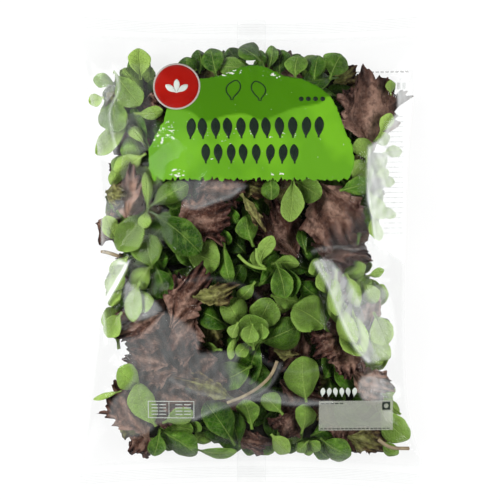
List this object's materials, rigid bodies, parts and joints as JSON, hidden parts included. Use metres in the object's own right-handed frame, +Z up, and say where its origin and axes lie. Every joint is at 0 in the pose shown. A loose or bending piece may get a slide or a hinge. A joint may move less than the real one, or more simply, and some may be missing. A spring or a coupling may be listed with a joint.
{
  "type": "bag of salad leaves",
  "caption": "Clear pillow bag of mixed lamb's lettuce and red leaf lettuce, with a flat seal across each end, lying on its back with the printed side up.",
  "frame": {"origin": "on the table under the middle of the bag's box", "axes": "+X across the bag to the right of the print, +Y along the bag towards the top seal, +Z up through the printed side"},
  "size_m": [0.226, 0.319, 0.0652],
  "materials": {
    "film_on_leaves": "glossy clear film drawn over fresh green and red-brown leaves",
    "clear_film": "thin clear film with soft wrinkles and bright reflections",
    "green_leaf": "fresh spoon-shaped green leaf with pale midrib and fine veins",
    "red_leaf": "frilled red-brown lettuce leaf with pink ribs",
    "leaf_stalk": "pale green and pink leaf stalk",
    "green_ink": "opaque green printing ink with a brushed edge",
    "red_ink": "opaque red printing ink",
    "white_ink": "white printing ink",
    "dark_ink": "dark printing ink"
  },
  "bodies": {
    "root": {"salad_bag": "film_on_leaves"}
  },
  "joints": []
}
